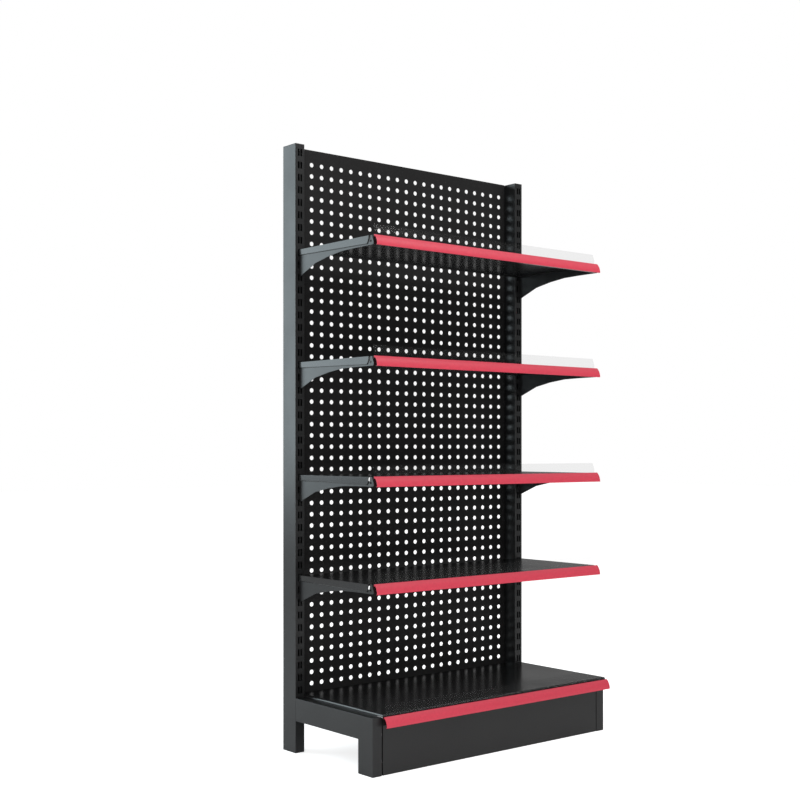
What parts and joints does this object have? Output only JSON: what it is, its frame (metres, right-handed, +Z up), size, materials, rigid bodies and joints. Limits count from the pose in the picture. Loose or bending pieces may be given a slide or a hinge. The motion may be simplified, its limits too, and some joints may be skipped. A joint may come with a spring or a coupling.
{
  "type": "gondola shelving unit",
  "caption": "Single-sided gondola shelving bay: slotted uprights, perforated steel back, bracketed shelves with red price rails and clear front fences, base deck and kick plate.",
  "frame": {"origin": "on the floor, under the centre of the whole unit's bounding box", "axes": "+Z up, -Y towards the front where the goods are taken, +X to the right seen from the front"},
  "size_m": [1.2616, 0.6256, 2.4368],
  "materials": {
    "charcoal_steel": "satin powder coat",
    "charcoal_shelf": "semi-gloss powder coat",
    "black_panel": "matte powder coat",
    "red_plastic": "satin",
    "clear_plastic": "clear polished",
    "black_plastic": "matte moulded",
    "zinc_steel": "zinc plated"
  },
  "bodies": {
    "frame": {"upright_left": "charcoal_steel", "upright_right": "charcoal_steel", "top_cap_left": "black_plastic", "top_cap_right": "black_plastic", "base_arm_left": "charcoal_steel", "base_arm_right": "charcoal_steel", "back_panel_1": "black_panel", "back_panel_2": "black_panel", "back_panel_3": "black_panel", "back_panel_4": "black_panel", "crossbar_top": "charcoal_steel", "crossbar_middle": "charcoal_steel", "crossbar_bottom": "charcoal_steel", "frame_screws": "zinc_steel", "kick_pins": "charcoal_steel", "foot_nut_plates": "zinc_steel"},
    "bracket_left_1": {"bracket_left_1": "charcoal_steel"},
    "bracket_right_1": {"bracket_right_1": "charcoal_steel"},
    "shelf_1": {"shelf_1": "charcoal_shelf", "price_rail_1": "red_plastic"},
    "fence_1": {"fence_1": "clear_plastic"},
    "bracket_left_2": {"bracket_left_2": "charcoal_steel"},
    "bracket_right_2": {"bracket_right_2": "charcoal_steel"},
    "shelf_2": {"shelf_2": "charcoal_shelf", "price_rail_2": "red_plastic"},
    "fence_2": {"fence_2": "clear_plastic"},
    "bracket_left_3": {"bracket_left_3": "charcoal_steel"},
    "bracket_right_3": {"bracket_right_3": "charcoal_steel"},
    "shelf_3": {"shelf_3": "charcoal_shelf", "price_rail_3": "red_plastic"},
    "fence_3": {"fence_3": "clear_plastic"},
    "bracket_left_4": {"bracket_left_4": "charcoal_steel"},
    "bracket_right_4": {"bracket_right_4": "charcoal_steel"},
    "shelf_4": {"shelf_4": "charcoal_shelf", "price_rail_4": "red_plastic"},
    "fence_4": {"fence_4": "clear_plastic"},
    "deck": {"base_deck": "charcoal_shelf", "deck_stiffener": "charcoal_steel", "price_rail_base": "red_plastic"},
    "fence_base": {"fence_base": "clear_plastic"},
    "kick_plate": {"kick_plate": "charcoal_steel"},
    "foot_pad_rear_left": {"foot_pad_rear_left": "black_plastic"},
    "foot_stud_rear_left": {"foot_stud_rear_left": "zinc_steel"},
    "foot_pad_rear_right": {"foot_pad_rear_right": "black_plastic"},
    "foot_stud_rear_right": {"foot_stud_rear_right": "zinc_steel"},
    "foot_pad_front_left": {"foot_pad_front_left": "black_plastic"},
    "foot_stud_front_left": {"foot_stud_front_left": "zinc_steel"},
    "foot_pad_front_right": {"foot_pad_front_right": "black_plastic"},
    "foot_stud_front_right": {"foot_stud_front_right": "zinc_steel"}
  },
  "joints": [
    {"name": "bracket_left_1_unhook", "type": "slide", "parent": "frame", "child": "bracket_left_1", "axis": [0, 0, 1], "range_m": [0, 0.012]},
    {"name": "bracket_right_1_unhook", "type": "slide", "parent": "frame", "child": "bracket_right_1", "axis": [0, 0, 1], "range_m": [0, 0.012]},
    {"name": "shelf_1_lift", "type": "slide", "parent": "bracket_left_1", "child": "shelf_1", "axis": [0, 0, 1], "range_m": [0, 0.04]},
    {"name": "fence_1_lift", "type": "slide", "parent": "shelf_1", "child": "fence_1", "axis": [0, 0, 1], "range_m": [0, 0.045]},
    {"name": "bracket_left_2_unhook", "type": "slide", "parent": "frame", "child": "bracket_left_2", "axis": [0, 0, 1], "range_m": [0, 0.012]},
    {"name": "bracket_right_2_unhook", "type": "slide", "parent": "frame", "child": "bracket_right_2", "axis": [0, 0, 1], "range_m": [0, 0.012]},
    {"name": "shelf_2_lift", "type": "slide", "parent": "bracket_left_2", "child": "shelf_2", "axis": [0, 0, 1], "range_m": [0, 0.04]},
    {"name": "fence_2_lift", "type": "slide", "parent": "shelf_2", "child": "fence_2", "axis": [0, 0, 1], "range_m": [0, 0.045]},
    {"name": "bracket_left_3_unhook", "type": "slide", "parent": "frame", "child": "bracket_left_3", "axis": [0, 0, 1], "range_m": [0, 0.012]},
    {"name": "bracket_right_3_unhook", "type": "slide", "parent": "frame", "child": "bracket_right_3", "axis": [0, 0, 1], "range_m": [0, 0.012]},
    {"name": "shelf_3_lift", "type": "slide", "parent": "bracket_left_3", "child": "shelf_3", "axis": [0, 0, 1], "range_m": [0, 0.04]},
    {"name": "fence_3_lift", "type": "slide", "parent": "shelf_3", "child": "fence_3", "axis": [0, 0, 1], "range_m": [0, 0.045]},
    {"name": "bracket_left_4_unhook", "type": "slide", "parent": "frame", "child": "bracket_left_4", "axis": [0, 0, 1], "range_m": [0, 0.012]},
    {"name": "bracket_right_4_unhook", "type": "slide", "parent": "frame", "child": "bracket_right_4", "axis": [0, 0, 1], "range_m": [0, 0.012]},
    {"name": "shelf_4_lift", "type": "slide", "parent": "bracket_left_4", "child": "shelf_4", "axis": [0, 0, 1], "range_m": [0, 0.04]},
    {"name": "fence_4_lift", "type": "slide", "parent": "shelf_4", "child": "fence_4", "axis": [0, 0, 1], "range_m": [0, 0.045]},
    {"name": "deck_lift", "type": "slide", "parent": "frame", "child": "deck", "axis": [0, 0, 1], "range_m": [0, 0.04]},
    {"name": "fence_base_lift", "type": "slide", "parent": "deck", "child": "fence_base", "axis": [0, 0, 1], "range_m": [0, 0.045]},
    {"name": "kick_plate_unhook", "type": "slide", "parent": "frame", "child": "kick_plate", "axis": [0, 0, 1], "range_m": [0, 0.01]},
    {"name": "foot_rear_left_height", "type": "slide", "parent": "frame", "child": "foot_pad_rear_left", "axis": [0, 0, 1], "range_m": [-0.02, 0.01]},
    {"name": "foot_rear_left_turn", "type": "hinge", "parent": "foot_pad_rear_left", "child": "foot_stud_rear_left", "pos_m": [-0.60925, 0.26775, 0.035], "axis": [0, 0, 1], "range_deg": [-4800, 2400]},
    {"name": "foot_rear_right_height", "type": "slide", "parent": "frame", "child": "foot_pad_rear_right", "axis": [0, 0, 1], "range_m": [-0.02, 0.01]},
    {"name": "foot_rear_right_turn", "type": "hinge", "parent": "foot_pad_rear_right", "child": "foot_stud_rear_right", "pos_m": [0.59875, 0.26775, 0.035], "axis": [0, 0, 1], "range_deg": [-4800, 2400]},
    {"name": "foot_front_left_height", "type": "slide", "parent": "frame", "child": "foot_pad_front_left", "axis": [0, 0, 1], "range_m": [-0.02, 0.01]},
    {"name": "foot_front_left_turn", "type": "hinge", "parent": "foot_pad_front_left", "child": "foot_stud_front_left", "pos_m": [-0.60925, -0.23925, 0.035], "axis": [0, 0, 1], "range_deg": [-4800, 2400]},
    {"name": "foot_front_right_height", "type": "slide", "parent": "frame", "child": "foot_pad_front_right", "axis": [0, 0, 1], "range_m": [-0.02, 0.01]},
    {"name": "foot_front_right_turn", "type": "hinge", "parent": "foot_pad_front_right", "child": "foot_stud_front_right", "pos_m": [0.59875, -0.23925, 0.035], "axis": [0, 0, 1], "range_deg": [-4800, 2400]}
  ],
  "couplings": [
    {"joint": "bracket_right_1_unhook", "follows": "bracket_left_1_unhook", "ratio": 1},
    {"joint": "bracket_right_2_unhook", "follows": "bracket_left_2_unhook", "ratio": 1},
    {"joint": "bracket_right_3_unhook", "follows": "bracket_left_3_unhook", "ratio": 1},
    {"joint": "bracket_right_4_unhook", "follows": "bracket_left_4_unhook", "ratio": 1},
    {"joint": "foot_rear_left_turn", "follows": "foot_rear_left_height", "rad_per_m": 4188.8},
    {"joint": "foot_rear_right_turn", "follows": "foot_rear_right_height", "rad_per_m": 4188.8},
    {"joint": "foot_front_left_turn", "follows": "foot_front_left_height", "rad_per_m": 4188.8},
    {"joint": "foot_front_right_turn", "follows": "foot_front_right_height", "rad_per_m": 4188.8}
  ]
}
